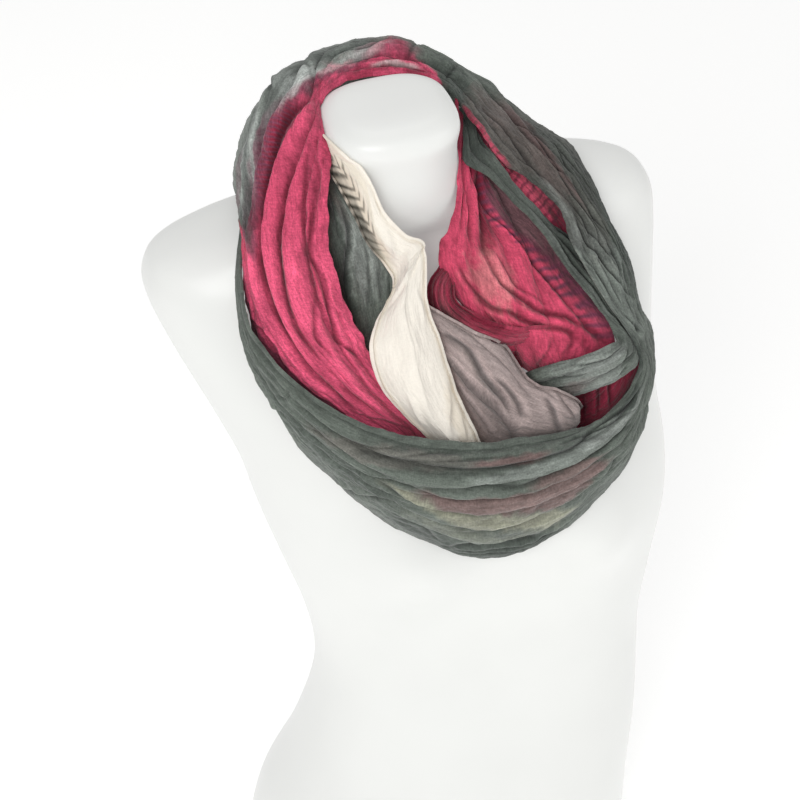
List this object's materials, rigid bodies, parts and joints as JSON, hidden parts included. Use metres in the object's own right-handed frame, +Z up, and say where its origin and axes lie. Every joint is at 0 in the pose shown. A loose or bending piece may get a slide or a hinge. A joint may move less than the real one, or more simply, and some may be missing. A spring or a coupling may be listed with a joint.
{
  "type": "infinity scarf on dress form",
  "caption": "Wide crinkled gauze loop worn wound twice round the neck of a limbless dress form, with a raised collar and a cowl draped over the chest.",
  "frame": {"origin": "on the dress form's flat base, under the middle of its neck", "axes": "+Z up the form, the form faces -Y, +X to the right as seen from the front"},
  "size_m": [0.3924, 0.3106, 0.7977],
  "materials": {
    "dress_form": "translucent white moulded plastic, soft sheen",
    "hood_left": "crinkled gauze, crimson shading to grey-green at the outer edge",
    "hood_back": "crinkled gauze, grey-green with crimson streaks",
    "hood_right": "crinkled gauze, grey-green with a brownish violet cast",
    "front_drape": "crinkled gauze, grey-green with dusty rose and pale patches",
    "under_collar": "crinkled gauze, grey-green",
    "right_strand": "crinkled gauze, grey-green",
    "cross_strand": "crinkled gauze, grey-green",
    "right_crimson": "crinkled gauze, crimson with a dark dyed border",
    "slit_crimson": "crinkled gauze, crimson with dark dyed bars",
    "crimson_gathers": "crinkled gauze, crimson",
    "crimson_tuck": "crinkled gauze, dark crimson",
    "white_upper": "crinkled gauze, cream with dark dyed chevrons along one edge",
    "white_lower": "crinkled gauze, cream",
    "taupe": "crinkled gauze, grey-brown",
    "green_inner": "crinkled gauze, grey-green"
  },
  "bodies": {
    "root": {"dress_form": "dress_form", "hood_left": "hood_left", "hood_back": "hood_back", "hood_right": "hood_right", "front_drape": "front_drape", "under_collar": "under_collar", "right_strand": "right_strand", "cross_strand": "cross_strand", "right_crimson": "right_crimson", "slit_crimson": "slit_crimson", "crimson_gathers": "crimson_gathers", "crimson_tuck": "crimson_tuck", "white_upper": "white_upper", "white_lower": "white_lower", "taupe": "taupe", "green_inner": "green_inner"}
  },
  "joints": []
}
